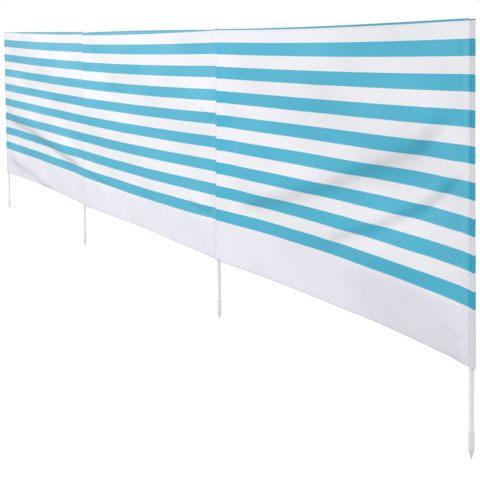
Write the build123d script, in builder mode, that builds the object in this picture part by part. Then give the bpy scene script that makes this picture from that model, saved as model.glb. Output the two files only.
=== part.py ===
"""Beach windbreak: four upright poles on ground spikes carry a cloth wall in three bays.

Millimetres. X runs along the wall from the left pole to the right one, -Y is the front of
the cloth and +Z is up. The origin is the blunt end of the left pole's spike.
"""
import os
from math import asin, atan2, cos, hypot, sin

from build123d import *

os.makedirs("parts", exist_ok=True)

# Wall plan: the bays' lengths, how far each pole stands back from a straight line, and how
# far the cloth's middle is blown backwards in each bay
bay_1_length = 1530.0
bay_2_length = 1790.0
bay_3_length = 1680.0
pole_set_back = (0.0, 30.0, 22.0, 0.0)
bay_belly = (6.0, 4.0, 38.0)

# Heights above the spikes' ends
cloth_bottom = 207.0
skirt_height = 123.0
striped_height = 675.0

# Poles, spikes and end caps
pole_radius = 6.5
pole_wall = 1.0
pole_proud = 2.0  # a pole stands this far above the cloth
spike_radius = 7.6
spike_length = 70.0
spike_taper = 23.0
spike_end_radius = 1.5
spike_socket = 38.0
spike_edge = 0.6
cap_height = 2.6
cap_stem = 12.0
cap_stem_clearance = 0.1
cap_edge = 1.4

# Cloth
cloth_thickness = 1.2
pole_to_cloth = 0.3  # between a pole and the panel in front of it
pocket_clearance = 0.5  # between a pole and the pocket or sleeve around it
edge_gap = 0.4  # between a piece of cloth and its neighbour in the same layer
pocket_flange = 14.0  # a pocket is sewn on as far as this to each side of its pole's axis
sleeve_band = 28.0  # an end sleeve is sewn down as far as this inwards of its pole's axis
top_hem = 12.0
bottom_hem = 10.0

# Levels
skirt_top = cloth_bottom + skirt_height
cloth_top = skirt_top + striped_height
pole_foot = spike_length - spike_socket
pole_top = cloth_top + pole_proud

# Plan positions
bay_lengths = (bay_1_length, bay_2_length, bay_3_length)
pole_x = [sum(bay_lengths[:number]) for number in range(len(bay_lengths) + 1)]
poles = list(zip(pole_x, pole_set_back))
last_bay = len(bay_lengths) - 1
last_pole = len(poles) - 1

# Layers of cloth, measured forwards (towards -Y) from the line through the poles' axes
panel_back = pole_radius + pole_to_cloth
panel_front = panel_back + cloth_thickness
hem_back = panel_back - cloth_thickness
pocket_inner = pole_radius + pocket_clearance
pocket_outer = pocket_inner + cloth_thickness
sleeve_reach = pocket_outer + edge_gap  # a panel stops this far short of an end pole's axis


def save(part, name):
    """Label a finished piece and write its STEP file."""
    part.label = name
    export_step(part, f"parts/{name}.step")


def bay_arc(bay):
    """The arc that joins a bay's two pole axes: its centre, radius, first angle and length."""
    (x_0, y_0), (x_1, y_1) = poles[bay], poles[bay + 1]
    chord, belly = hypot(x_1 - x_0, y_1 - y_0), bay_belly[bay]
    radius = (chord**2 / 4 + belly**2) / (2 * belly)
    along = ((x_1 - x_0) / chord, (y_1 - y_0) / chord)
    drop = radius - belly
    centre = ((x_0 + x_1) / 2 + along[1] * drop, (y_0 + y_1) / 2 - along[0] * drop)
    first_angle = atan2(y_0 - centre[1], x_0 - centre[0])
    return centre, radius, first_angle, 2 * radius * asin(chord / (2 * radius))


def layer_point(bay, distance, forwards):
    """A point in a layer of cloth, at a distance along the bay from its left pole."""
    centre, radius, first_angle, _ = bay_arc(bay)
    angle = first_angle - distance / radius
    return (centre[0] + (radius - forwards) * cos(angle), centre[1] + (radius - forwards) * sin(angle))


def layer_plan(bay, start, end, front, back):
    """The plan of a strip of cloth along a bay, between two layers."""
    with BuildSketch() as plan:
        with BuildLine():
            for forwards in (front, back):
                ThreePointArc(*[layer_point(bay, at, forwards) for at in (start, (start + end) / 2, end)])
            for at in (start, end):
                Line(layer_point(bay, at, front), layer_point(bay, at, back))
        make_face()
    return plan.sketch


def strip(bay, start, end, front, back, bottom, height):
    """A strip of cloth along a bay, between two layers."""
    with BuildPart() as cloth:
        with BuildSketch(Plane.XY.offset(bottom)):
            add(layer_plan(bay, start, end, front, back))
        extrude(amount=height)
    return cloth.part


# Poles: steel tubes, each standing in its spike's socket
for number, (x, y) in enumerate(poles, start=1):
    with BuildPart() as pole:
        with BuildSketch(Plane.XY.offset(pole_foot)):
            with Locations((x, y)):
                Circle(pole_radius)
                Circle(pole_radius - pole_wall, mode=Mode.SUBTRACT)
        extrude(amount=pole_top - pole_foot)
    save(pole.part, f"pole_{number}")

# Spikes: moulded points with a blunt end below and a socket for the pole above
for number, (x, y) in enumerate(poles, start=1):
    with BuildPart() as spike:
        with BuildSketch(Plane.XZ.offset(-y)):
            with BuildLine():
                Polyline(
                    (x, 0),
                    (x + spike_end_radius, 0),
                    (x + spike_radius, spike_taper),
                    (x + spike_radius, spike_length - spike_edge),
                    (x + spike_radius - spike_edge, spike_length),
                    (x, spike_length),
                    close=True,
                )
            make_face()
        revolve(axis=Axis((x, y, 0), (0, 0, 1)))
        with BuildSketch(Plane.XY.offset(spike_length)):
            with Locations((x, y)):
                Circle(pole_radius)
        extrude(amount=-spike_socket, mode=Mode.SUBTRACT)
    save(spike.part, f"spike_{number}")

# Caps: rounded plugs that close the poles' upper ends
for number, (x, y) in enumerate(poles, start=1):
    with BuildPart() as cap:
        with BuildSketch(Plane.XY.offset(pole_top)):
            with Locations((x, y)):
                Circle(pole_radius)
        extrude(amount=cap_height)
        fillet(cap.edges().group_by(Axis.Z)[-1], radius=cap_edge)
        with BuildSketch(Plane.XY.offset(pole_top)):
            with Locations((x, y)):
                Circle(pole_radius - pole_wall - cap_stem_clearance)
        extrude(amount=-cap_stem)
    save(cap.part, f"pole_cap_{number}")

# Cloth of each bay: the striped panel, the plain skirt sewn below it and a hem on each free
# edge. The panels of two bays meet on a pole; the hems stop beside its pocket or sleeve.
for bay in range(len(bay_lengths)):
    number = bay + 1
    bay_length = bay_arc(bay)[3]
    start = sleeve_reach if bay == 0 else edge_gap / 2
    end = bay_length - (sleeve_reach if bay == last_bay else edge_gap / 2)
    striped = strip(bay, start, end, panel_front, panel_back, skirt_top, striped_height)
    save(striped, f"striped_panel_{number}")
    skirt = strip(bay, start, end, panel_front, panel_back, cloth_bottom, skirt_height)
    save(skirt, f"skirt_panel_{number}")
    start = (sleeve_band if bay == 0 else pocket_flange) + edge_gap
    end = bay_length - (sleeve_band if bay == last_bay else pocket_flange) - edge_gap
    upper = strip(bay, start, end, panel_back, hem_back, cloth_top - top_hem, top_hem)
    save(upper, f"top_hem_{number}")
    lower = strip(bay, start, end, panel_back, hem_back, cloth_bottom, bottom_hem)
    save(lower, f"bottom_hem_{number}")


def ahead_of_cloth(bay, pole_index):
    """The plan of what lies in front of a bay's panel, on that panel's side of a pole."""
    length = bay_arc(bay)[3]
    side = Align.MAX if bay < pole_index else Align.MIN
    with BuildSketch() as plan:
        add(layer_plan(bay, -2 * pocket_outer, length + 2 * pocket_outer, 2 * pocket_outer, panel_back))
        with Locations(poles[pole_index]):
            Rectangle(2 * pocket_outer, 5 * pocket_outer, align=(side, Align.CENTER), mode=Mode.INTERSECT)
    return plan.sketch


def loop_plan(pole_index, reach):
    """The plan of a loop of cloth round a pole, with a band on the cloth beside it out to a reach."""
    bays = [bay for bay in (pole_index - 1, pole_index) if 0 <= bay <= last_bay]
    with BuildSketch() as plan:
        with Locations(poles[pole_index]):
            Circle(pocket_outer)
        for bay in bays:
            add(layer_plan(bay, 0, bay_arc(bay)[3], panel_back, hem_back))
        with Locations(poles[pole_index]):
            Rectangle(2 * reach, 4 * pocket_outer, mode=Mode.INTERSECT)
        if len(bays) == 2:
            # Two panels meet in front of a middle pole, so its loop is open there
            for bay in bays:
                add(ahead_of_cloth(bay, pole_index), mode=Mode.SUBTRACT)
        with Locations(poles[pole_index]):
            Circle(pocket_inner, mode=Mode.SUBTRACT)
    return plan.sketch


def loop(pole_index, reach, bottom, height):
    """A pocket or an end sleeve between two levels."""
    with BuildPart() as cloth:
        with BuildSketch(Plane.XY.offset(bottom)):
            add(loop_plan(pole_index, reach))
        extrude(amount=height)
    return cloth.part


# Pockets: strips sewn to the back of the cloth and looped round the two middle poles
for pole_index in range(1, last_pole):
    pocket = loop(pole_index, pocket_flange, cloth_bottom, cloth_top - cloth_bottom)
    save(pocket, f"pole_pocket_{pole_index + 1}")

# Sleeves: the cloth's ends folded right round the end poles and sewn down in a band behind,
# in one piece at the striped level and in another at the skirt's
for side, pole_index in (("left", 0), ("right", last_pole)):
    save(loop(pole_index, sleeve_band, skirt_top, striped_height), f"striped_sleeve_{side}")
    save(loop(pole_index, sleeve_band, cloth_bottom, skirt_height), f"skirt_sleeve_{side}")
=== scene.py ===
"""Looks of the beach windbreak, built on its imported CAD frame.

Metres, in the row frame: X runs along the wall, -Y is the front of the cloth and +Z is up.
A point of the cloth is known by its place along the wall and by its height on the flat cloth,
before the cloth sagged and folded; every stripe keeps one height all along the wall.
"""
import math

import bpy
import numpy as np
from mathutils import Matrix, Vector


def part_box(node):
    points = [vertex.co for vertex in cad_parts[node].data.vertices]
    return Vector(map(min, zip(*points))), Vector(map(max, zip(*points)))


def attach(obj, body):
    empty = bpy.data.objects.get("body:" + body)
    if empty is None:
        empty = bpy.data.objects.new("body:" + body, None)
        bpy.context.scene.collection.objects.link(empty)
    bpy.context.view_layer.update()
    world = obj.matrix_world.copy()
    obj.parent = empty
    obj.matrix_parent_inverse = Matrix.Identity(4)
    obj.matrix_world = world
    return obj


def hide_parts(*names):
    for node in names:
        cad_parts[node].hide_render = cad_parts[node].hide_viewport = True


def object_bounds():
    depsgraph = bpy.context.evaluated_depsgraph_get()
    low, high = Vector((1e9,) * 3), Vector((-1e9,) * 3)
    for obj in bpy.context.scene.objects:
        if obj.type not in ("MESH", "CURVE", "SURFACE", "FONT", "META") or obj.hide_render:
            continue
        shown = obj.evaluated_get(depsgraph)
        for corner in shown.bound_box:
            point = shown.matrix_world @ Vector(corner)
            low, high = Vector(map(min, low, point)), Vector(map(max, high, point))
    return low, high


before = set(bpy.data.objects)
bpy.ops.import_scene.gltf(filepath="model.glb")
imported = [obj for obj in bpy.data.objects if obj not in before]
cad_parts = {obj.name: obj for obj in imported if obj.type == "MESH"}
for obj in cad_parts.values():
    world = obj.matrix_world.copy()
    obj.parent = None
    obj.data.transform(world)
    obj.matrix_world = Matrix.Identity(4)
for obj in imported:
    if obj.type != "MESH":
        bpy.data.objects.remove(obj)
cad_low, cad_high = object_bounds()
scene = bpy.context.scene

# ---------------------------------------------------------------- camera
# The photograph's view: from the wall's right end, a little in front of it, near eye level
# with the cloth's upper edge. The lens shift is only what the photograph's framing needs.
CAMERA_PLACE = Vector((7.624, -1.620, 0.979))
CAMERA_HEADING = math.radians(158.15)
CAMERA_DIP = math.radians(3.71)
CAMERA_ROLL = math.radians(0.53)
SENSOR_WIDTH = 36.0
FOCAL_LENGTH = 100.5
FRAME_SHIFT = -0.24
CAMERA_SEES_TO = 200.0


def make_camera():
    """A camera from the place, heading, dip and roll above."""
    level = math.cos(CAMERA_DIP)
    ahead = Vector(
        (math.cos(CAMERA_HEADING) * level, math.sin(CAMERA_HEADING) * level, -math.sin(CAMERA_DIP))
    )
    across = Vector((math.sin(CAMERA_HEADING), -math.cos(CAMERA_HEADING), 0.0))
    below = ahead.cross(across)
    right = across * math.cos(CAMERA_ROLL) + below * math.sin(CAMERA_ROLL)
    down = below * math.cos(CAMERA_ROLL) - across * math.sin(CAMERA_ROLL)
    data = bpy.data.cameras.new("camera")
    data.sensor_width = SENSOR_WIDTH
    data.lens = FOCAL_LENGTH
    data.shift_y = FRAME_SHIFT
    data.clip_end = CAMERA_SEES_TO
    camera = bpy.data.objects.new("camera", data)
    scene.collection.objects.link(camera)
    turn = Matrix((right, -down, -ahead)).transposed()
    camera.matrix_world = Matrix.Translation(CAMERA_PLACE) @ turn.to_4x4()
    scene.camera = camera


# ---------------------------------------------------------------- shader helpers
BLACK = (0.0, 0.0, 0.0, 1.0)
PURE_WHITE = (1.0, 1.0, 1.0, 1.0)


def empty_tree(owner, output_type):
    """The node tree of a material or world, empty but for its output."""
    owner.use_nodes = True
    tree = owner.node_tree
    tree.nodes.clear()
    return tree, tree.nodes.new(output_type)


def new_material(name):
    """A material with nothing in its node tree but its Principled shader and output."""
    material = bpy.data.materials.new(name)
    tree, output = empty_tree(material, "ShaderNodeOutputMaterial")
    shader = tree.nodes.new("ShaderNodeBsdfPrincipled")
    tree.links.new(shader.outputs["BSDF"], output.inputs["Surface"])
    return material, tree, shader


def set_input(tree, socket, value):
    """Links a socket to another node's output, or sets it to a constant."""
    if isinstance(value, bpy.types.NodeSocket):
        tree.links.new(value, socket)
    else:
        socket.default_value = value


def math_node(tree, operation, *values):
    """The output of a Math node."""
    node = tree.nodes.new("ShaderNodeMath")
    node.operation = operation
    for socket, value in zip(node.inputs, values):
        set_input(tree, socket, value)
    return node.outputs[0]


def ramp(tree, value, low, high, at_low=0.0, at_high=1.0):
    """A smooth change from at_low to at_high while value goes from low to high."""
    node = tree.nodes.new("ShaderNodeMapRange")
    node.interpolation_type = "SMOOTHSTEP"
    set_input(tree, node.inputs["Value"], value)
    node.inputs["From Min"].default_value = low
    node.inputs["From Max"].default_value = high
    node.inputs["To Min"].default_value = at_low
    node.inputs["To Max"].default_value = at_high
    return node.outputs["Result"]


def mix_colour(tree, factor, first, second):
    """The colour output of a Mix node."""
    node = tree.nodes.new("ShaderNodeMix")
    node.data_type = "RGBA"
    set_input(tree, node.inputs["Factor"], factor)
    set_input(tree, node.inputs["A"], first)
    set_input(tree, node.inputs["B"], second)
    return node.outputs["Result"]


def noise(tree, vector, scale=1.0, detail=2.0, roughness=0.5):
    """The value output of a Noise Texture node."""
    node = tree.nodes.new("ShaderNodeTexNoise")
    set_input(tree, node.inputs["Vector"], vector)
    node.inputs["Scale"].default_value = scale
    node.inputs["Detail"].default_value = detail
    node.inputs["Roughness"].default_value = roughness
    return node.outputs["Fac"]


def stretched(tree, vector, scale):
    """A vector scaled by its own amount on each axis."""
    node = tree.nodes.new("ShaderNodeVectorMath")
    node.operation = "MULTIPLY"
    set_input(tree, node.inputs[0], vector)
    node.inputs[1].default_value = scale
    return node.outputs["Vector"]


def bump(tree, height, distance, strength, under=None):
    """The normal output of a Bump node."""
    node = tree.nodes.new("ShaderNodeBump")
    node.inputs["Strength"].default_value = strength
    node.inputs["Distance"].default_value = distance
    set_input(tree, node.inputs["Height"], height)
    if under is not None:
        set_input(tree, node.inputs["Normal"], under)
    return node.outputs["Normal"]


def uv_axes(tree, name):
    """A UV map's vector output, and its two coordinates."""
    uv_map = tree.nodes.new("ShaderNodeUVMap")
    uv_map.uv_map = name
    axes = tree.nodes.new("ShaderNodeSeparateXYZ")
    tree.links.new(uv_map.outputs["UV"], axes.inputs[0])
    return uv_map.outputs["UV"], axes.outputs["X"], axes.outputs["Y"]


def shown_apart(tree, lighting, shown):
    """A shader that the camera sees as one thing while it lights the object as another."""
    path = tree.nodes.new("ShaderNodeLightPath")
    camera_ray, clear_ray = path.outputs["Is Camera Ray"], path.outputs["Is Transmission Ray"]
    mix = tree.nodes.new("ShaderNodeMixShader")
    tree.links.new(math_node(tree, "MAXIMUM", camera_ray, clear_ray), mix.inputs[0])
    tree.links.new(lighting.outputs[0], mix.inputs[1])
    tree.links.new(shown.outputs[0], mix.inputs[2])
    return mix.outputs[0]


# ---------------------------------------------------------------- cloth materials
# The printed stripes, by height on the flat cloth
STRIPE_PITCH = 0.083
STRIPE_WIDTH = 0.041
LOWEST_STRIPE = 0.3405
STRIPE_COUNT = 8
EDGE_STRIPE = 1.0032  # a ninth stripe begins here and is mostly turned under at the top
STRIPE_BLUR = 0.0006
STRIPE_BLUE = (0.034, 0.445, 0.635, 1.0)
CLOTH_WHITE = (0.865, 0.862, 0.897, 1.0)
SKIRT_WHITE = (0.82, 0.82, 0.895, 1.0)

# Rows of stitches in white thread: a stitch's size, how far the rows are from a hemmed edge
# and from a seam, and how strongly the thread shows
STITCH_LENGTH = 0.0034
STITCH_WIDTH = 0.0004
STITCH_FILLS = (0.33, 0.40)  # off its middle, the share of a stitch where the thread ends
HEM_STITCH = 0.0095
SEAM_STITCH = 0.005
THREAD_SHOWS = 0.2

# Painted shade along a hem's folded edge, which is three layers thick: the colour is darkened as far
# in as this, and less so along the edges that are sewn together
HEM_SHADE_REACH = 0.0020
SEAM_SHADE_REACH = 0.0015
STRIPED_HEM_SHADE_TONE = 0.60
PLAIN_HEM_SHADE_TONE = 0.85
SEAM_SHADE_TONE = 0.92

# The weave's pitch; then, for slubs along the yarns and for broad wear, the scales per metre
# along and up, the part of the noise that counts, and the tone where they are darkest
WEAVE_PITCH = 0.0009
SLUB_SCALE = (60.0, 900.0, 1.0)
SLUB_RANGE = (0.3, 0.7)
SLUB_TONE = 0.985
WEAR_SCALE = (3.0, 7.0, 1.0)
WEAR_RANGE = (0.25, 0.75)
WEAR_TONE = 0.965
GLOSS_RANGE = (0.3, 0.7)
CLOTH_ROUGHNESS = (0.30, 0.37)

# Height in metres and strength of each bump
WEAVE_BUMP = (0.00012, 0.25)
SLUB_BUMP = (0.0004, 0.25)
STITCH_BUMP = (0.0006, 0.7)

SPECULAR_LEVEL = 0.5
CLOTH_SHEEN = 0.04
CLOTH_SHEEN_ROUGHNESS = 0.45


def stitch_row(tree, across, along, place):
    """1 on the threads of a row of stitches, 0 elsewhere."""
    off_line = math_node(tree, "ABSOLUTE", math_node(tree, "SUBTRACT", across, place))
    on_line = ramp(tree, off_line, STITCH_WIDTH, STITCH_WIDTH * 2, 1.0, 0.0)
    step = math_node(tree, "FRACT", math_node(tree, "DIVIDE", along, STITCH_LENGTH))
    middle = math_node(tree, "ABSOLUTE", math_node(tree, "SUBTRACT", step, 0.5))
    return math_node(tree, "MULTIPLY", on_line, ramp(tree, middle, *STITCH_FILLS, 1.0, 0.0))


def stripes(tree, height):
    """1 on the blue stripes, 0 between them."""
    above = math_node(tree, "SUBTRACT", height, LOWEST_STRIPE)
    step = math_node(tree, "FRACT", math_node(tree, "DIVIDE", above, STRIPE_PITCH))
    middle = STRIPE_WIDTH / STRIPE_PITCH / 2
    off_middle = math_node(tree, "ABSOLUTE", math_node(tree, "SUBTRACT", step, middle))
    blur = STRIPE_BLUR / STRIPE_PITCH
    repeated = ramp(tree, off_middle, middle - blur, middle + blur, 1.0, 0.0)
    top = LOWEST_STRIPE + (STRIPE_COUNT - 1) * STRIPE_PITCH + STRIPE_WIDTH
    from_lowest = ramp(tree, height, LOWEST_STRIPE - STRIPE_BLUR, LOWEST_STRIPE + STRIPE_BLUR)
    to_top = ramp(tree, height, top - STRIPE_BLUR, top + STRIPE_BLUR, 1.0, 0.0)
    inside = math_node(tree, "MULTIPLY", math_node(tree, "MULTIPLY", from_lowest, to_top), repeated)
    at_edge = ramp(tree, height, EDGE_STRIPE - STRIPE_BLUR, EDGE_STRIPE + STRIPE_BLUR)
    return math_node(tree, "MAXIMUM", inside, at_edge)


def yarns(tree, place):
    """Yarns of the weave that lie across a coordinate."""
    return math_node(tree, "SINE", math_node(tree, "MULTIPLY", place, 2 * math.pi / WEAVE_PITCH))


def cloth_material(name, white, striped):
    """Woven polyester, plain or with printed stripes, with its sewing."""
    material, tree, shader = new_material(name)
    flat, along, height = uv_axes(tree, "flat")
    from_seam, from_edge = uv_axes(tree, "sewn")[1:]

    weave = math_node(tree, "MULTIPLY", yarns(tree, along), yarns(tree, height))
    slubs = noise(tree, stretched(tree, flat, SLUB_SCALE), detail=2.0)
    wear = noise(tree, stretched(tree, flat, WEAR_SCALE), detail=4.0, roughness=0.6)
    hem_row = stitch_row(tree, from_edge, along, HEM_STITCH)
    seam_row = stitch_row(tree, from_seam, height, SEAM_STITCH)
    threads = math_node(tree, "MAXIMUM", hem_row, seam_row)
    # Painted shade: the colour is darkened along the hemmed edges and the sewn edges
    hem_shade_tone = STRIPED_HEM_SHADE_TONE if striped else PLAIN_HEM_SHADE_TONE
    painted_hem_shade = ramp(tree, from_edge, HEM_SHADE_REACH, HEM_SHADE_REACH * 2, hem_shade_tone, 1.0)
    painted_seam_shade = ramp(tree, from_seam, SEAM_SHADE_REACH, SEAM_SHADE_REACH * 3, SEAM_SHADE_TONE, 1.0)
    painted_edge_shade = math_node(tree, "MULTIPLY", painted_hem_shade, painted_seam_shade)

    colour = mix_colour(tree, stripes(tree, height), white, STRIPE_BLUE) if striped else white
    worn = ramp(tree, wear, *WEAR_RANGE, WEAR_TONE, 1.0)
    slubby = ramp(tree, slubs, *SLUB_RANGE, SLUB_TONE, 1.0)
    # Random wear and slubs, and the painted shade along the edges, darken the colour
    tone = math_node(tree, "MULTIPLY", math_node(tree, "MULTIPLY", worn, slubby), painted_edge_shade)
    toned = mix_colour(tree, tone, BLACK, colour)
    threaded = mix_colour(tree, math_node(tree, "MULTIPLY", threads, THREAD_SHOWS), toned, white)
    tree.links.new(threaded, shader.inputs["Base Color"])
    roughness = ramp(tree, wear, *GLOSS_RANGE, *CLOTH_ROUGHNESS)
    tree.links.new(roughness, shader.inputs["Roughness"])
    shader.inputs["Specular IOR Level"].default_value = SPECULAR_LEVEL
    shader.inputs["Sheen Weight"].default_value = CLOTH_SHEEN
    shader.inputs["Sheen Roughness"].default_value = CLOTH_SHEEN_ROUGHNESS

    woven = bump(tree, weave, *WEAVE_BUMP)
    slubbed = bump(tree, slubs, *SLUB_BUMP, woven)
    stitched = bump(tree, threads, *STITCH_BUMP, slubbed)
    tree.links.new(stitched, shader.inputs["Normal"])
    return material


# ---------------------------------------------------------------- where the CAD says things are
def middle_of(node):
    """The middle of a CAD node's box."""
    low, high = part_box(node)
    return (low + high) / 2


POLE_NUMBERS = range(1, 5)
POLES = [middle_of(f"pole_{number}") for number in POLE_NUMBERS]
LAST_POLE = len(POLES) - 1
BAYS = range(LAST_POLE)
pole_low, pole_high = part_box("pole_1")
POLE_RADIUS = (pole_high.x - pole_low.x) / 2
panel_low, panel_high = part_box("striped_panel_1")
SKIRT_TOP = panel_low.z
CLOTH_TOP = panel_high.z
CLOTH_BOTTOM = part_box("skirt_panel_1")[0].z
CAD_CLOTH_HALF = 0.0006  # half the thickness of the CAD's cloth
sleeve_low, sleeve_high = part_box("striped_sleeve_right")
SLEEVE_RADIUS = sleeve_high.x - POLES[LAST_POLE].x - CAD_CLOTH_HALF
SLEEVE_BAND = POLES[LAST_POLE].x - sleeve_low.x
pocket_low, pocket_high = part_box("pole_pocket_3")
POCKET_FLANGE = (pocket_high.x - pocket_low.x) / 2

# ---------------------------------------------------------------- how the cloth hangs
# The plan is the CAD's bow; the rest is how the cloth's sewing and its pull on the poles move
# it from there. These lists have a row for each bay, from the left.
PANEL_FORWARD = 0.0074  # from the line through the poles' axes to the middle of the cloth
BOW = (0.006, 0.004, 0.038)
# Further back at mid-bay: at the cloth's lower edge, halfway up and at its upper edge, and
# how much of that lies towards the bay's right end
BILLOW = ((0.0, 0.0, 0.0, 0.0), (0.0, 0.005, 0.0, 0.3), (0.0045, 0.0040, -0.026, 0.6))
# Heights above the flat cloth's own: at the bay's left end, its right end, and the sag between
LOW_STRIPE_RISE = (
    (0.0110, -0.0085, 0.0010),
    (-0.0100, 0.0072, 0.0102),
    (0.0050, 0.0154, 0.0020),
)
HIGH_STRIPE_RISE = (
    (0.0115, -0.0085, 0.0046),
    (-0.0125, -0.0034, 0.0041),
    (-0.0027, 0.0071, 0.0053),
)
LOW_STRIPE, HIGH_STRIPE = 0.340, 0.963  # the flat heights that the two rises are for
# How much more they rise halfway up: at the bay's left end and at its right end
STRIPE_ARCH = ((-0.001, -0.003), (-0.0005, 0.0038), (-0.0020, 0.0030))
# Heights of the cloth's edges: at the bay's left end, its right end, and the sag between
TOP_EDGE = ((1.0142, 1.0065, -0.001), (1.003, 1.0025, -0.0032), (1.0041, 1.0154, 0.0039))
BOTTOM_EDGE = ((0.2125, 0.2000, -0.0035), (0.1945, 0.2080, -0.0045), (0.2072, 0.2175, 0.0085))

# How far back a skirt's lower edge swings, near the bay's right end; the shares of the bay
# where that starts, over which it grows and over which it ends; how far down the skirt it
# goes on growing; and how far the edge drops with it
SKIRT_TUCK = (0.0, 0.0, 0.012)
TUCK_START, TUCK_GROWTH, TUCK_END = 0.45, 0.35, 0.10
TUCK_DEEPEST = 1.2
TUCK_DROP = 0.4

# For each pole, how far to its right the seam between two bays is: at the lower edge, below
# the upper edge and at the upper edge, where the hem pulls it
SEAM_PLACE = ((0.0, 0.0, 0.0), (0.024, 0.050, 0.046), (-0.003, 0.019, -0.006), (0.0, 0.0, 0.0))
SEAM_BEND = 0.93  # the height above which the hem pulls the seam
SEAM_PULL = 0.30  # how far along the wall the cloth leans with its seam

# Puckers along the skirt's seam and beside the poles: their size, their pitch, their random
# seed and how far they reach. Those beside a pole are strongest some way off it, because the
# cloth is held still over the pole itself and freed over a short way beyond.
SKIRT_PUCKER, SKIRT_PUCKER_PITCH, SKIRT_PUCKER_SEED, SKIRT_PUCKER_REACH = 0.0007, 0.11, 7, 0.022
POLE_PUCKER, POLE_PUCKER_PITCH, POLE_PUCKER_SEED, POLE_PUCKER_REACH = 0.0011, 0.06, 11, 0.02
POLE_PUCKER_PLACE = 0.03
HELD_TO = 0.008
FREED_OVER = 0.05
PUCKER_WAVES = ((1.0, 0.5), (1.62, 0.32), (2.71, 0.18))  # waves per pitch, and their sizes

# Creases that run across the cloth: the line, how far they reach above and below it, how
# sharp they are, and how far the cloth stands forward above it and backward below it
CREASES = (
    # First bay: the long fold, falling from its left end to just above the skirt's seam
    (((0.05, 0.512), (0.66, 0.476), (1.10, 0.418), (1.53, 0.380)), 0.110, 0.065, 0.022, 0.015),
    # Middle bay: along the skirt's seam, at its two ends
    (((1.55, 0.378), (1.72, 0.366), (1.95, 0.345)), 0.030, 0.020, 0.008, 0.004),
    (((3.02, 0.386), (3.18, 0.364), (3.30, 0.366)), 0.040, 0.015, 0.008, 0.006),
    # Last bay: the long fold, rising to its right end
    (
        (
            (3.45, 0.400),
            (3.77, 0.460),
            (4.13, 0.535),
            (4.43, 0.612),
            (4.735, 0.690),
            (4.84, 0.750),
            (4.96, 0.800),
        ),
        0.100,
        0.160,
        0.026,
        0.0108,
    ),
    # Last bay: the second fold below it, with a finer crease in its right part
    (
        ((4.10, 0.375), (4.41, 0.446), (4.68, 0.527), (4.87, 0.598), (4.97, 0.650)),
        0.045,
        0.045,
        0.018,
        0.0080,
    ),
    (((4.70, 0.530), (4.86, 0.590), (4.98, 0.650)), 0.014, 0.014, 0.005, 0.0014),
    # Last bay: along the skirt's seam
    (((3.95, 0.361), (4.97, 0.361)), 0.050, 0.050, 0.018, 0.0022),
    # Middle bay: a short pull beside its right seam
    (((3.16, 0.725), (3.30, 0.690)), 0.020, 0.020, 0.008, 0.0020),
    # Skirts: the first bay's fold, and a short one beside the right pole
    (((0.03, 0.290), (0.55, 0.245), (1.08, 0.196)), 0.060, 0.060, 0.026, 0.009),
    (((4.84, 0.262), (4.98, 0.262)), 0.016, 0.016, 0.006, 0.0020),
)
CREASE_FADE = 0.14  # the share of its length in which a crease fades out at each end
CREASE_CORNER = 0.04  # how far along the wall the corners of its line are rounded
# Broad hollows: the middle, how far it reaches along and up, and how deep it is
HOLLOWS = (((4.73, 0.570), (0.24, 0.100), 0.0100), ((3.42, 0.640), (0.10, 0.110), 0.0060))
# Slight waviness all over the cloth: waves per metre along and up, how far they move the
# cloth, and their phase
WAVES = (
    (0.62, 2.5, 0.0016, 0.4),
    (1.46, -3.0, 0.0010, 2.1),
    (2.40, 4.75, 0.0006, 4.4),
    (3.80, 2.0, 0.0004, 1.3),
)


def hump(share):
    """A rise from 0 at both ends to 1 halfway."""
    return 4 * share * (1 - share)


def smooth(value):
    """A smooth step from 0 to 1 as value goes from 0 to 1."""
    value = np.clip(value, 0.0, 1.0)
    return value * value * (3 - 2 * value)


def bell(offset, reach):
    """1 where the offset is 0, and next to nothing at twice its reach."""
    return np.exp(-((offset / reach) ** 2))


def line_level(values, share):
    """A level between a bay's two ends, with its sag."""
    left, right, sag = values
    return left + (right - left) * share - sag * hump(share)


def smooth_line(place, places, levels):
    """The level at a place of a line through several points, with its corners rounded."""
    steps = (-1.0, -0.5, 0.0, 0.5, 1.0)
    near = [np.interp(place + CREASE_CORNER * step, places, levels) for step in steps]
    return sum(near) / len(steps)


def bay_share(bay, along):
    """How far along a bay a place is, from 0 at its left pole to 1 at its right one."""
    return np.clip((along - POLES[bay].x) / (POLES[bay + 1].x - POLES[bay].x), 0.0, 1.0)


def cloth_share(height):
    """How far up the cloth a flat height is, from 0 at its lower edge to 1 at its upper one."""
    return (height - CLOTH_BOTTOM) / (CLOTH_TOP - CLOTH_BOTTOM)


def crease_shift(along, height):
    """How far the creases and hollows move the cloth backwards."""
    total = np.zeros(np.broadcast(along, height).shape)
    for line, above, below, sharp, depth in CREASES:
        places, levels = np.array(line).T
        length = places[-1] - places[0]
        share = (along - places[0]) / length
        slope = (levels[-1] - levels[0]) / length
        side = (height - smooth_line(along, places, levels)) / math.hypot(1.0, slope)
        fade = smooth(share / CREASE_FADE) * smooth((1 - share) / CREASE_FADE)
        reach = np.abs(side) / np.where(side > 0, above, below)
        total -= depth * fade * side / np.hypot(side, sharp) * np.exp(-reach)
    for (place, level), (wide, tall), depth in HOLLOWS:
        total += depth * bell(along - place, wide) * bell(height - level, tall)
    return total


def waviness(along, height):
    """How far the cloth's slight waviness moves it backwards."""
    return sum(
        size * np.sin(2 * math.pi * (along * run + height * rise) + phase)
        for run, rise, size, phase in WAVES
    )


def pucker(place, seed, pitch):
    """An uneven gathering along a seam, from -1 to 1."""
    turns = np.random.default_rng(seed).uniform(0, 2 * math.pi, len(PUCKER_WAVES))
    return sum(
        size * np.sin(2 * math.pi * place * rate / pitch + turn)
        for (rate, size), turn in zip(PUCKER_WAVES, turns)
    )


def tuck_share(share):
    """How much of a skirt's tuck there is at a share of its bay."""
    return smooth((share - TUCK_START) / TUCK_GROWTH) * smooth((1 - share) / TUCK_END)


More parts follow.
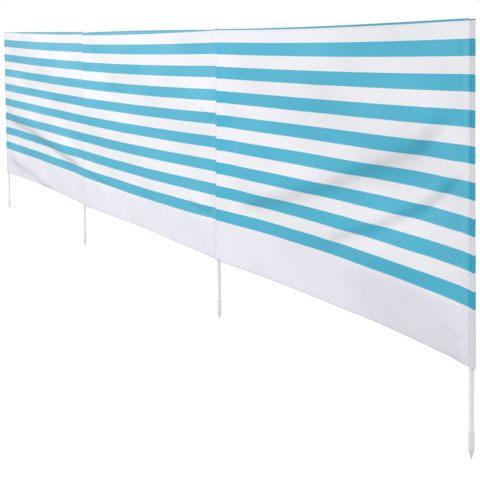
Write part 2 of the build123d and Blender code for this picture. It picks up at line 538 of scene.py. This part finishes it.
def cloth_back(bay, along, height):
    """How far the cloth stands behind its place in the CAD."""
    share = bay_share(bay, along)
    lower, bulge, upper, skew = BILLOW[bay]
    up = cloth_share(height)
    reach = lower + (upper - lower) * up + bulge * hump(up)
    billow = hump(share) * (1 + skew * (2 * share - 1)) * reach
    below = np.clip((SKIRT_TOP - height) / (SKIRT_TOP - CLOTH_BOTTOM), 0.0, TUCK_DEEPEST)
    tuck = SKIRT_TUCK[bay] * below * tuck_share(share)
    gathered = SKIRT_PUCKER * pucker(along, SKIRT_PUCKER_SEED, SKIRT_PUCKER_PITCH)
    gathered = gathered * bell(height - SKIRT_TOP, SKIRT_PUCKER_REACH)
    shift = billow + tuck + crease_shift(along, height) + waviness(along, height) + gathered
    for pole in (bay, bay + 1):
        gap = np.abs(along - POLES[pole].x)
        sewn = POLE_PUCKER * pucker(height, POLE_PUCKER_SEED + pole, POLE_PUCKER_PITCH)
        sewn = sewn * bell(gap - POLE_PUCKER_PLACE, POLE_PUCKER_REACH)
        shift = (shift + sewn) * smooth((gap - HELD_TO) / FREED_OVER)
    return shift


def cloth_level(bay, along, height):
    """The height at which a point of the flat cloth hangs."""
    share = bay_share(bay, along)
    low = line_level(LOW_STRIPE_RISE[bay], share)
    high = line_level(HIGH_STRIPE_RISE[bay], share)
    arch_left, arch_right = STRIPE_ARCH[bay]
    arch = arch_left + (arch_right - arch_left) * share
    up = np.clip((height - LOW_STRIPE) / (HIGH_STRIPE - LOW_STRIPE), 0.0, 1.0)
    return height + low + (high - low) * up + arch * hump(up)


def seam_lean(bay, along, height):
    """How far the seams at a bay's ends pull its cloth along the wall."""
    total = np.zeros(np.broadcast(along, height).shape)
    up = np.clip((height - CLOTH_BOTTOM) / (SEAM_BEND - CLOTH_BOTTOM), 0.0, 1.0)
    bent = smooth((height - SEAM_BEND) / (CLOTH_TOP - SEAM_BEND))
    for pole in (bay, bay + 1):
        lower, upper, edge = SEAM_PLACE[pole]
        near = 1 - smooth(np.abs(along - POLES[pole].x) / SEAM_PULL)
        total = total + near * (lower + (upper - lower) * up + (edge - upper) * bent)
    return total


def top_height(bay, along):
    """The height on the flat cloth of its upper edge."""
    share = bay_share(bay, along)
    return line_level(TOP_EDGE[bay], share) - line_level(HIGH_STRIPE_RISE[bay], share)


def bottom_height(bay, along):
    """The height on the flat cloth of its lower edge."""
    share = bay_share(bay, along)
    drop = TUCK_DROP * SKIRT_TUCK[bay] * tuck_share(share)
    return line_level(BOTTOM_EDGE[bay], share) - line_level(LOW_STRIPE_RISE[bay], share) - drop


# ---------------------------------------------------------------- plan of the cloth
# Over a pole the cloth stands forward; at a seam between two bays it does so a little more,
# with a groove on the seam itself. Each is a size and how far it reaches to the sides.
POLE_RIDGE, POLE_RIDGE_REACH = 0.0016, 0.022
SEAM_RIDGE, SEAM_RIDGE_REACH = 0.0008, 0.012
SEAM_GROOVE, SEAM_GROOVE_REACH = 0.0006, 0.0025
SEAM_TURN_REACH = 0.025  # how far from the seam the two bays' cloth turns to face the same way

# Spacing of a sheet's points: at its ends, between them, and how far from the ends it gets
# there. Columns are in metres, rows in shares of the sheet's height.
COLUMN_STEPS = (0.0012, 0.009, 0.12)
PANEL_ROW_STEPS = (0.004, 0.0125, 0.05)
SKIRT_ROW_STEPS = (0.03, 0.06, 0.2)


def bay_plan(bay, along):
    """The line through a bay's pole axes, and the directions out of its front: x, y, nx, ny."""
    left, right = POLES[bay], POLES[bay + 1]
    span = right.x - left.x
    share = (along - left.x) / span
    back = left.y + (right.y - left.y) * share + BOW[bay] * hump(share)
    slope = (right.y - left.y + 4 * BOW[bay] * (1 - 2 * share)) / span
    size = np.hypot(slope, 1.0)
    return along, back, slope / size, -1 / size


def spread_places(start, end, fine, coarse, reach):
    """Places from start to end, a fine step apart at both ends and a coarse one between."""
    places = [start]
    while places[-1] < end:
        near = min(places[-1] - start, end - places[-1])
        places.append(places[-1] + fine + (coarse - fine) * min(max(near / reach, 0.0), 1.0))
    places = np.array(places)
    return start + (places - start) * (end - start) / (places[-1] - start)


def run_along(x, y):
    """How far along a line in plan each of its points is."""
    return np.concatenate([[0.0], np.cumsum(np.hypot(np.diff(x), np.diff(y)))])


def seam_front(pole):
    """The direction out of the front of the seam at a middle pole, between its two bays' own."""
    _, _, left_x, left_y = bay_plan(pole - 1, POLES[pole].x)
    _, _, right_x, right_y = bay_plan(pole, POLES[pole].x)
    size = math.hypot(left_x + right_x, left_y + right_y)
    return (left_x + right_x) / size, (left_y + right_y) / size


def panel_columns(bay):
    """Plan of a bay's cloth from seam to seam: places along the wall, plan points, directions
    out of the front, and how far the cloth stands forward there."""
    along = spread_places(POLES[bay].x, POLES[bay + 1].x, *COLUMN_STEPS)
    x, y, nx, ny = bay_plan(bay, along)
    forward = np.full(len(along), PANEL_FORWARD)
    for pole in (bay, bay + 1):
        gap = np.abs(along - POLES[pole].x)
        forward += POLE_RIDGE * bell(gap, POLE_RIDGE_REACH)
        if 0 < pole < LAST_POLE:
            # Two bays are sewn face to face, so that their edges roll back into the seam and
            # point the same way there
            forward += SEAM_RIDGE * bell(gap, SEAM_RIDGE_REACH)
            forward -= SEAM_GROOVE * bell(gap, SEAM_GROOVE_REACH)
            seam_x, seam_y = seam_front(pole)
            near = bell(gap, SEAM_TURN_REACH)
            nx = nx + near * (seam_x - nx)
            ny = ny + near * (seam_y - ny)
    return along, x, y, nx, ny, forward


def from_seams(bay, along):
    """How far places on a bay's cloth are from the seams that join it to its neighbours."""
    seams = [POLES[pole].x for pole in (bay, bay + 1) if 0 < pole < LAST_POLE]
    return np.min([np.abs(along - place) for place in seams], axis=0)


def sheet_points(bay, columns, heights, lifts):
    """Points of a sheet from its plan columns and, for each row, flat heights and lifts."""
    along, x, y, nx, ny, forward = columns
    place = along[:, None] + np.zeros_like(heights)
    out = forward[:, None] + lifts - cloth_back(bay, place, heights)
    lean = seam_lean(bay, place, heights)
    points = np.empty(heights.shape + (3,))
    points[..., 0] = x[:, None] + nx[:, None] * out - lean * ny[:, None]
    points[..., 1] = y[:, None] + ny[:, None] * out + lean * nx[:, None]
    points[..., 2] = cloth_level(bay, place + lean, heights)
    return points


# ---------------------------------------------------------------- pieces of cloth
CLOTH_THICKNESS = 0.0003
SEAM_LAP = 0.009  # the striped cloth overlaps the skirt by this
LAP_PRESS, LAP_PRESS_REACH = 0.0001, 0.004  # its sewn edge is pressed back, so far up the cloth
SKIRT_BEHIND, SKIRT_BEHIND_OVER = 0.0005, 0.010  # the skirt goes behind it by this, over this

HEM_DEPTH = 0.011
SKIRT_HEM_DEPTH = HEM_DEPTH - 0.001
HEM_ROWS = 4
TURN_RADIUS = 0.0007  # of the fold at a hemmed edge, to the middle of the cloth
TURN_STEPS = 5

# Round an end pole: angles from the wall's line, in degrees, and how many millimetres the
# sleeve stands off the pole's axis there, where it is tight, at the top, and where it is
# loose, at the bottom
SLEEVE_ANGLES = (-90, -80, -70, -63, -55, -47, -38, -28, -13, 10, 38, 62, 78)
SLEEVE_TIGHT = (9.2, 9.5, 9.9, 10.1, 8.1, 7.1, 7.1, 8.3, 8.8, 8.7, 8.0, 7.7, 7.8)
SLEEVE_LOOSE = (9.1, 9.4, 9.7, 9.7, 8.6, 7.9, 8.1, 9.2, 10.4, 10.9, 10.4, 9.4, 8.4)
SLEEVE_STEPS = 60
SLEEVE_ROW_STEP = 0.008
SLEEVE_DROP = 0.0025  # of a sleeve's upper edge below the cloth's, and of its lower one above
SLEEVE_RISE = (-0.0075, 0.0010)  # of the stripes on the pole's far side, at the bottom and top
SLEEVE_RISE_TURN = 80  # degrees before the wall's line where that rise starts
SLEEVE_TIGHT_FROM, SLEEVE_LOOSENS_OVER = 0.75, 0.70  # shares of the cloth's height
SLEEVE_PUCKER, SLEEVE_PUCKER_PITCH, SLEEVE_PUCKER_SEED = 0.0004, 0.08, 23
SLEEVE_PUCKER_DEEPEST = -0.0002
SLEEVE_PUCKER_FADE = 8  # columns

# Behind the pole, inwards of its axis: where the band's columns start and how many they are,
# where the sleeve leaves the pole and over how much it goes to the back of the cloth. Then
# how far it is off the pole and behind the middle of the cloth.
BAND_START = 0.004
BAND_STEPS = 16
BAND_LEAVES = 0.003
BAND_CROSSES = 0.016
BAND_OFF_POLE = 0.0002
BAND_BEHIND_CLOTH = 0.0012

# A pocket: where its flange leaves the cloth, beside the pole's axis; the ends of its loop, in
# degrees; how far the loop is off the pole and the flange behind the middle of the cloth
POCKET_BEND = 0.0075
POCKET_FLANGE_STEPS = 7
POCKET_LOOP = (200, -20)
POCKET_LOOP_STEPS = 40
POCKET_ROWS = 90
POCKET_OFF_POLE = 0.0011
POCKET_BEHIND_CLOTH = 0.0014
POCKET_RISE, POCKET_DROP = 0.001, 0.003  # inside the cloth's lower and upper edges


def grid_mesh(name, points, flat, sewn, material):
    """A piece of cloth from a grid of points, with its flat places and its places in the sewing."""
    columns, rows = points.shape[:2]
    index = np.arange(columns * rows).reshape(columns, rows)
    faces = np.stack([index[:-1, :-1], index[1:, :-1], index[1:, 1:], index[:-1, 1:]], -1)
    faces = faces.reshape(-1, 4)
    mesh = bpy.data.meshes.new(name)
    mesh.vertices.add(columns * rows)
    mesh.vertices.foreach_set("co", points.reshape(-1))
    mesh.loops.add(faces.size)
    mesh.loops.foreach_set("vertex_index", faces.reshape(-1))
    mesh.polygons.add(len(faces))
    mesh.polygons.foreach_set("loop_start", np.arange(0, faces.size, 4))
    mesh.update(calc_edges=True)
    mesh.validate()
    for map_name, places in (("flat", flat), ("sewn", sewn)):
        layer = mesh.uv_layers.new(name=map_name)
        layer.data.foreach_set("uv", places.reshape(-1, 2)[faces.reshape(-1)].reshape(-1))
    mesh.polygons.foreach_set("use_smooth", np.ones(len(faces), bool))
    # The cut edges stay sharp, so that their shading does not run into the face of the cloth
    ends = np.empty(2 * len(mesh.edges), dtype=np.int32)
    mesh.edges.foreach_get("vertices", ends)
    column, row = np.divmod(ends.reshape(-1, 2), rows)
    at_side = np.all(column == 0, 1) | np.all(column == columns - 1, 1)
    at_end = np.all(row == 0, 1) | np.all(row == rows - 1, 1)
    sharp = mesh.attributes.new("sharp_edge", "BOOLEAN", "EDGE")
    sharp.data.foreach_set("value", at_side | at_end)
    mesh.materials.append(material)
    piece = bpy.data.objects.new(name, mesh)
    scene.collection.objects.link(piece)
    solid = piece.modifiers.new("thickness", "SOLIDIFY")
    solid.thickness = CLOTH_THICKNESS
    solid.offset = 0.0
    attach(piece, "root")
    return piece


def pair_maps(first, second):
    """A map of two coordinates, each given for all points, for the columns or for the rows."""
    return np.stack(np.broadcast_arrays(first, second), -1)


def hem_profile(depth, upwards):
    """A hem: how far past the edge's fold, how far behind the front, and the length run so far."""
    angles = np.linspace(0, math.pi, TURN_STEPS + 1)[1:]
    back = np.linspace(0, depth, HEM_ROWS + 1)[1:]
    past = np.concatenate([TURN_RADIUS * np.sin(angles), -back])
    turned = np.full(HEM_ROWS, 2 * TURN_RADIUS)
    behind = np.concatenate([TURN_RADIUS * (1 - np.cos(angles)), turned])
    run = TURN_RADIUS * angles
    run = np.concatenate([run, run[-1] + back])
    side = 1 if upwards else -1
    return past * side, behind, run * side


def hemmed_sheet(name, bay, columns, start, edge, row_steps, hem_depth, body_lift, material):
    """A bay's sheet, from a level start to its hemmed edge, which is turned back behind it."""
    along = columns[0]
    edge = edge[:, None]
    upwards = edge[0, 0] > start
    fold = edge - TURN_RADIUS if upwards else edge + TURN_RADIUS
    past, behind, run = hem_profile(hem_depth, upwards)
    body = start + (fold - start) * spread_places(0.0, 1.0, *row_steps)
    heights = np.concatenate([body, fold + past], 1)
    lifts = np.concatenate([body_lift(body), np.broadcast_to(-behind, (len(along), len(behind)))], 1)
    points = sheet_points(bay, columns, heights, lifts)
    flat_height = np.concatenate([body, fold + run], 1)
    flat = pair_maps(along[:, None], flat_height)
    sewn = pair_maps(from_seams(bay, along)[:, None], np.abs(edge - flat_height))
    return grid_mesh(name, points, flat, sewn, material)


def make_panel(bay, columns, material):
    """The striped cloth of one bay, with its top edge turned back in a hem."""

    def lap(height):
        return -LAP_PRESS * bell(height - SKIRT_TOP, LAP_PRESS_REACH)

    name = f"striped_cloth_{bay + 1}"
    edge = top_height(bay, columns[0])
    return hemmed_sheet(
        name, bay, columns, SKIRT_TOP, edge, PANEL_ROW_STEPS, HEM_DEPTH, lap, material
    )


def make_skirt(bay, columns, material):
    """The plain cloth below it, sewn behind its lower edge, with its own hem at the bottom."""

    def under(height):
        return -SKIRT_BEHIND * smooth((height - SKIRT_TOP + SKIRT_BEHIND_OVER) / SKIRT_BEHIND_OVER)

    name = f"skirt_cloth_{bay + 1}"
    start, edge = SKIRT_TOP + SEAM_LAP, bottom_height(bay, columns[0])
    return hemmed_sheet(
        name, bay, columns, start, edge, SKIRT_ROW_STEPS, SKIRT_HEM_DEPTH, under, material
    )


def sleeve_columns(bay, pole, side):
    """Plan of an end sleeve: round the pole from its front to its back, then inwards along the
    back of the cloth. Its columns as for a panel, how much looser it is in each at the bottom,
    and how much each is on the pole's far side."""
    turn = np.linspace(SLEEVE_ANGLES[0], SLEEVE_ANGLES[-1], SLEEVE_STEPS)
    angles = np.radians(turn)
    band = np.linspace(BAND_START, SLEEVE_BAND, BAND_STEPS)
    inward = POLES[pole].x - side * band
    _, band_y, band_nx, band_ny = bay_plan(bay, inward)
    # Behind the pole the sleeve leaves it and goes to the back of the cloth
    on_pole = 1 - smooth((band - BAND_LEAVES) / BAND_CROSSES)
    on_cloth = (PANEL_FORWARD - BAND_BEHIND_CLOTH) * (1 - on_pole)
    behind = -(SLEEVE_RADIUS + BAND_OFF_POLE) * on_pole + on_cloth
    x = np.concatenate([np.full(SLEEVE_STEPS, POLES[pole].x), inward])
    y = np.concatenate([np.full(SLEEVE_STEPS, POLES[pole].y), band_y])
    nx = np.concatenate([side * np.cos(angles), band_nx])
    ny = np.concatenate([np.sin(angles), band_ny])
    tight = np.concatenate([np.interp(turn, SLEEVE_ANGLES, SLEEVE_TIGHT) / 1000, behind])
    loose = np.concatenate([np.interp(turn, SLEEVE_ANGLES, SLEEVE_LOOSE) / 1000, behind])
    far_front = smooth((turn + SLEEVE_RISE_TURN) / SLEEVE_RISE_TURN)
    far_side = np.concatenate([far_front, 1 - smooth(band / BAND_CROSSES)])
    return (x, x, y, nx, ny, tight), loose - tight, far_side


def make_sleeve(name, pole, side, low, high, material):
    """One length of an end sleeve, between two flat heights or as far as the cloth's edge."""
    bay = 0 if pole == 0 else BAYS[-1]
    columns, slack, far_side = sleeve_columns(bay, pole, side)
    along = columns[0]
    bottom = bottom_height(bay, along) + SLEEVE_DROP if low is None else np.full(len(along), low)
    top = top_height(bay, along) - SLEEVE_DROP if high is None else np.full(len(along), high)
    count = int((top[0] - bottom[0]) / SLEEVE_ROW_STEP)
    heights = bottom[:, None] + (top - bottom)[:, None] * np.linspace(0, 1, count)
    up = np.clip(cloth_share(heights), 0.0, 1.0)
    column = np.arange(len(along))
    round_pole = smooth(column / SLEEVE_PUCKER_FADE) * (column < SLEEVE_STEPS)
    uneven = pucker(heights, SLEEVE_PUCKER_SEED + pole, SLEEVE_PUCKER_PITCH)
    uneven = np.maximum(SLEEVE_PUCKER * uneven * round_pole[:, None], SLEEVE_PUCKER_DEEPEST)
    loosened = smooth((SLEEVE_TIGHT_FROM - up) / SLEEVE_LOOSENS_OVER)
    points = sheet_points(bay, columns, heights, slack[:, None] * loosened + uneven)
    low_rise, high_rise = SLEEVE_RISE
    points[..., 2] += far_side[:, None] * (low_rise + (high_rise - low_rise) * up)
    run = run_along(points[:, 0, 0], points[:, 0, 1])
    flat = pair_maps(POLES[pole].x + side * run[:, None], heights)
    sewn = pair_maps((run[-1] - run)[:, None], np.abs(top[:, None] - heights))
    return grid_mesh(name, points, flat, sewn, material)


def flange_plan(bay, along):
    """The plan of a strip that lies on the back of a bay's cloth."""
    x, y, nx, ny = bay_plan(bay, along)
    forward = PANEL_FORWARD - POCKET_BEHIND_CLOTH
    return x + nx * forward, y + ny * forward


def make_pocket(pole, material):
    """A strip sewn to the back of the cloth on both sides of a middle pole and looped round it."""
    middle = POLES[pole]
    flange = np.linspace(POCKET_FLANGE, POCKET_BEND, POCKET_FLANGE_STEPS)
    left_x, left_y = flange_plan(pole - 1, middle.x - flange)
    right_x, right_y = flange_plan(pole, middle.x + flange[::-1])
    angles = np.radians(np.linspace(*POCKET_LOOP, POCKET_LOOP_STEPS))
    radius = POLE_RADIUS + POCKET_OFF_POLE
    x = np.concatenate([left_x, middle.x + radius * np.cos(angles), right_x])
    y = np.concatenate([left_y, middle.y + radius * np.sin(angles), right_y])
    low = line_level(BOTTOM_EDGE[pole - 1], 1.0) + POCKET_RISE
    high = line_level(TOP_EDGE[pole], 0.0) - POCKET_DROP
    z = np.linspace(low, high, POCKET_ROWS)
    points = np.stack(np.broadcast_arrays(x[:, None], y[:, None], z), -1)
    run = run_along(x, y)
    from_end = np.minimum(run, run[-1] - run)
    from_edge = np.minimum(z - z[0], z[-1] - z)
    flat = pair_maps(run[:, None], z)
    sewn = pair_maps(from_end[:, None], from_edge)
    return grid_mesh(f"pole_pocket_cloth_{pole + 1}", points, flat, sewn, material)


def make_bay(bay, striped, plain):
    """One bay's striped cloth and skirt, in place of the CAD nodes they stand for."""
    number = bay + 1
    columns = panel_columns(bay)
    panel = make_panel(bay, columns, striped)
    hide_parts(f"striped_panel_{number}", f"top_hem_{number}")
    skirt = make_skirt(bay, columns, plain)
    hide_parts(f"skirt_panel_{number}", f"bottom_hem_{number}")


def make_end(name, pole, side, striped, plain):
    """Both lengths of an end sleeve, in place of the CAD nodes they stand for."""
    upper = make_sleeve(f"striped_sleeve_cloth_{name}", pole, side, SKIRT_TOP, None, striped)
    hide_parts(f"striped_sleeve_{name}")
    lower = make_sleeve(f"skirt_sleeve_cloth_{name}", pole, side, None, SKIRT_TOP, plain)
    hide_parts(f"skirt_sleeve_{name}")


def make_cloth():
    """All the cloth: the bays, the end sleeves and the middle poles' pockets."""
    striped = cloth_material("striped_polyester", CLOTH_WHITE, True)
    plain = cloth_material("white_polyester", SKIRT_WHITE, False)
    for bay in BAYS:
        make_bay(bay, striped, plain)
    make_end("left", 0, -1, striped, plain)
    make_end("right", LAST_POLE, 1, striped, plain)
    for pole in range(1, LAST_POLE):
        pocket = make_pocket(pole, plain)
        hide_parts(f"pole_pocket_{pole + 1}")


# ---------------------------------------------------------------- poles, spikes and caps
PAINT_WHITE = (0.90, 0.90, 0.905, 1.0)
PLASTIC_WHITE = (0.86, 0.86, 0.87, 1.0)
PAINT_ROUGHNESS, PLASTIC_ROUGHNESS = 0.34, 0.46
PAINT_GRAIN, PAINT_GRAIN_DEPTH = 900.0, 0.00008
PLASTIC_GRAIN, PLASTIC_GRAIN_DEPTH = 1500.0, 0.0001
GRAIN_STRENGTH = 0.35
# Mottling and scuffs: scales per metre, the parts of the noise that count, and the tone where
# they are darkest
MOTTLE_SCALE = 9.0
MOTTLE_RANGE = (0.3, 0.7)
MOTTLE_TONE = 0.97
SCUFF_SCALE = (260.0, 260.0, 22.0)
SCUFF_RANGE = (0.66, 0.8)
SCUFF_TONE = 0.93
DULL_RANGE = (0.4, 0.75)
DULLED_BY = 0.15


def hard_material(name, colour, roughness, grain, grain_depth):
    """Painted metal or moulded plastic: faint mottling, fine surface grain and light scuffs."""
    material, tree, shader = new_material(name)
    place = tree.nodes.new("ShaderNodeTexCoord").outputs["Object"]
    mottle = noise(tree, place, MOTTLE_SCALE, detail=3.0)
    scuffs = noise(tree, stretched(tree, place, SCUFF_SCALE), detail=4.0, roughness=0.65)
    peel = noise(tree, place, grain, detail=2.0)
    mottled = ramp(tree, mottle, *MOTTLE_RANGE, MOTTLE_TONE, 1.0)
    scuffed = ramp(tree, scuffs, *SCUFF_RANGE, 1.0, SCUFF_TONE)
    toned = mix_colour(tree, math_node(tree, "MULTIPLY", mottled, scuffed), BLACK, colour)
    tree.links.new(toned, shader.inputs["Base Color"])
    dulled = ramp(tree, scuffs, *DULL_RANGE, roughness, roughness + DULLED_BY)
    tree.links.new(dulled, shader.inputs["Roughness"])
    shader.inputs["Specular IOR Level"].default_value = SPECULAR_LEVEL
    tree.links.new(bump(tree, peel, grain_depth, GRAIN_STRENGTH), shader.inputs["Normal"])
    return material


def finish_hard_parts():
    """Materials of the poles, spikes and caps, which keep their CAD shapes."""
    paint = hard_material(
        "pole_white_paint", PAINT_WHITE, PAINT_ROUGHNESS, PAINT_GRAIN, PAINT_GRAIN_DEPTH
    )
    plastic = hard_material(
        "spike_white_plastic", PLASTIC_WHITE, PLASTIC_ROUGHNESS, PLASTIC_GRAIN, PLASTIC_GRAIN_DEPTH
    )
    for kind, material in (("pole", paint), ("spike", plastic), ("pole_cap", plastic)):
        for number in POLE_NUMBERS:
            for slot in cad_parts[f"{kind}_{number}"].material_slots:
                slot.material = material


# ---------------------------------------------------------------- floor, light and background
FLOOR_HALF = 60.0
FLOOR_PALE = (0.35, 0.35, 0.35, 1.0)  # as it lights the object
FLOOR_SHADED = (0.22, 0.22, 0.22, 1.0)  # as the camera sees it, with the glow added
FLOOR_GLOW = 0.84
WORLD_LIGHT = 1.065
KEY_PLACE, KEY_TARGET = (2.0, -4.2, 3.0), (2.0, 0.0, 0.6)
KEY_SIZE, KEY_POWER = 2.3, 105.0
WINDOW_SIDE, WINDOW_RISE, WINDOW_WIDTH = 20.0, 30.0, 20.0  # degrees
WINDOW_POWER = 0.2


def make_stage():
    """A plain pale floor that shows white to the camera but keeps the object's shadow."""
    mesh = bpy.data.meshes.new("floor")
    centre = (cad_low + cad_high) / 2
    signs = ((-1, -1), (1, -1), (1, 1), (-1, 1))
    corners = [(centre.x + x * FLOOR_HALF, centre.y + y * FLOOR_HALF, cad_low.z) for x, y in signs]
    mesh.from_pydata(corners, [], [(0, 1, 2, 3)])
    floor = bpy.data.objects.new("floor", mesh)
    scene.collection.objects.link(floor)
    material = bpy.data.materials.new("floor_white")
    tree, output = empty_tree(material, "ShaderNodeOutputMaterial")
    pale = tree.nodes.new("ShaderNodeBsdfDiffuse")
    pale.inputs["Color"].default_value = FLOOR_PALE
    shaded = tree.nodes.new("ShaderNodeBsdfDiffuse")
    shaded.inputs["Color"].default_value = FLOOR_SHADED
    glow = tree.nodes.new("ShaderNodeEmission")
    glow.inputs["Strength"].default_value = FLOOR_GLOW
    shown = tree.nodes.new("ShaderNodeAddShader")
    tree.links.new(shaded.outputs[0], shown.inputs[0])
    tree.links.new(glow.outputs[0], shown.inputs[1])
    tree.links.new(shown_apart(tree, pale, shown), output.inputs["Surface"])
    mesh.materials.append(material)


def make_world():
    """An even white surrounding, which also shows white behind the object."""
    world = bpy.data.worlds.new("studio")
    scene.world = world
    tree, output = empty_tree(world, "ShaderNodeOutputWorld")
    light = tree.nodes.new("ShaderNodeBackground")
    light.inputs["Strength"].default_value = WORLD_LIGHT
    backdrop = tree.nodes.new("ShaderNodeBackground")
    backdrop.inputs["Strength"].default_value = 1.0
    for node in (light, backdrop):
        node.inputs["Color"].default_value = PURE_WHITE
    tree.links.new(shown_apart(tree, light, backdrop), output.inputs["Surface"])


def add_light(name, kind, power):
    """A new light and its object."""
    data = bpy.data.lights.new(name, kind)
    data.energy = power
    lamp = bpy.data.objects.new(name, data)
    scene.collection.objects.link(lamp)
    return data, lamp


def make_lights():
    """A large lamp in front of the wall, and a soft distant light off its right end."""
    key_data, key = add_light("key", "AREA", KEY_POWER)
    key_data.size = KEY_SIZE
    key.location = KEY_PLACE
    aim = Vector(KEY_TARGET) - Vector(KEY_PLACE)
    key.rotation_euler = aim.to_track_quat("-Z", "Y").to_euler()
    key.visible_camera = False
    window_data, window = add_light("window", "SUN", WINDOW_POWER)
    window_data.angle = math.radians(WINDOW_WIDTH)
    side, rise = math.radians(WINDOW_SIDE), math.radians(WINDOW_RISE)
    away = Vector((math.cos(side) * math.cos(rise), -math.sin(side) * math.cos(rise), math.sin(rise)))
    window.rotation_euler = away.to_track_quat("Z", "Y").to_euler()


make_camera()
make_cloth()
finish_hard_parts()
make_stage()
make_world()
make_lights()
scene.view_settings.view_transform = "Standard"
